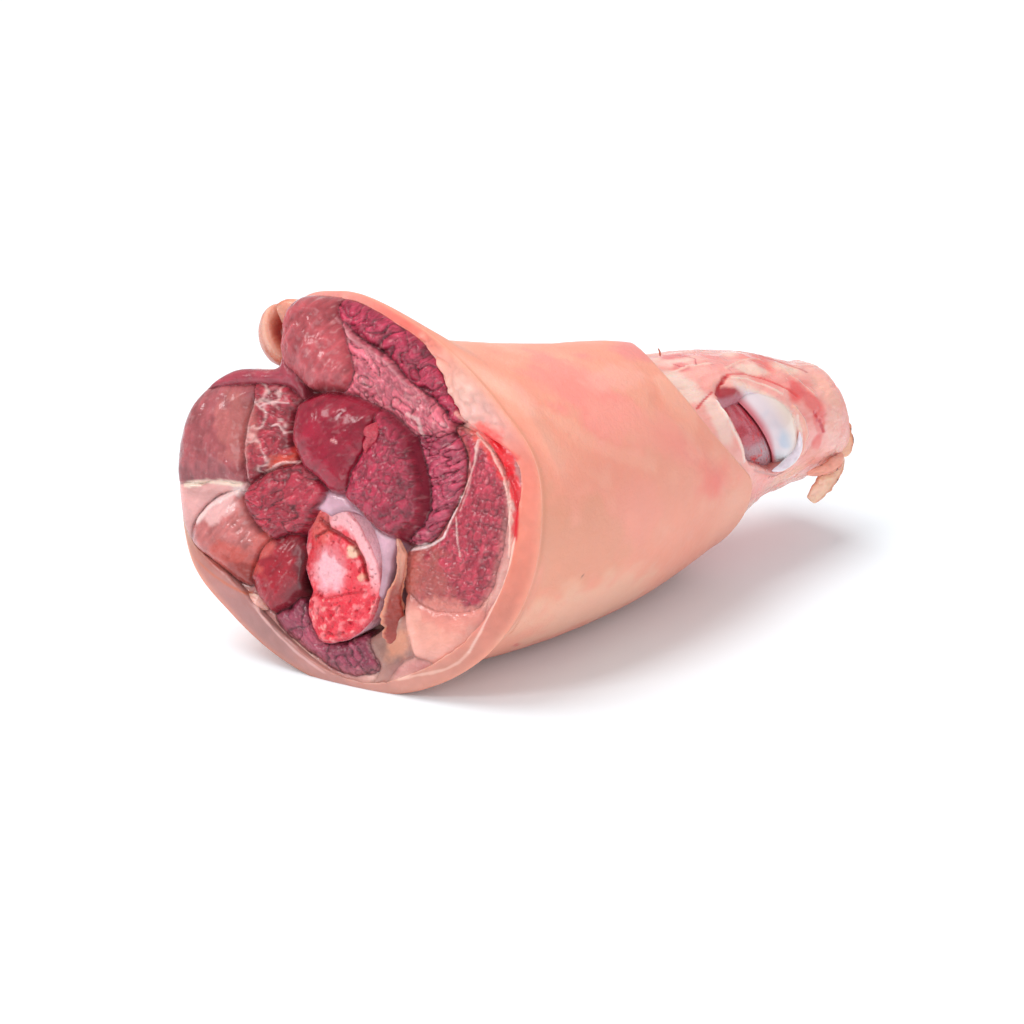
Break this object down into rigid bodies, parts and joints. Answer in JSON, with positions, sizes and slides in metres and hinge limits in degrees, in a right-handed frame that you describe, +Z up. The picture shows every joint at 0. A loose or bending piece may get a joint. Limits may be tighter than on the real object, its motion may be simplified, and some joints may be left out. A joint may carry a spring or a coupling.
{
  "type": "raw pork knuckle",
  "caption": "Raw pork knuckle lying on its side: a sleeve of rind round the shank, the cut muscles and bone at the wide end and the opened hock joint at the narrow end.",
  "frame": {"origin": "bottom centre of the bounding box, on the surface that the knuckle lies on", "axes": "+X along the shank from the big cut face to the hock, +Z up, -Y towards the side that the picture shows"},
  "size_m": [0.225, 0.1268, 0.1135],
  "materials": {
    "meat": "moist raw rind and muscle, smooth and softly glossy",
    "bone": "wet porous bone, red marrow",
    "cartilage": "wet glossy cartilage, blue-white"
  },
  "bodies": {
    "root": {"flesh": "meat", "shank_bone": "bone", "hock_bone": "cartilage"}
  },
  "joints": []
}
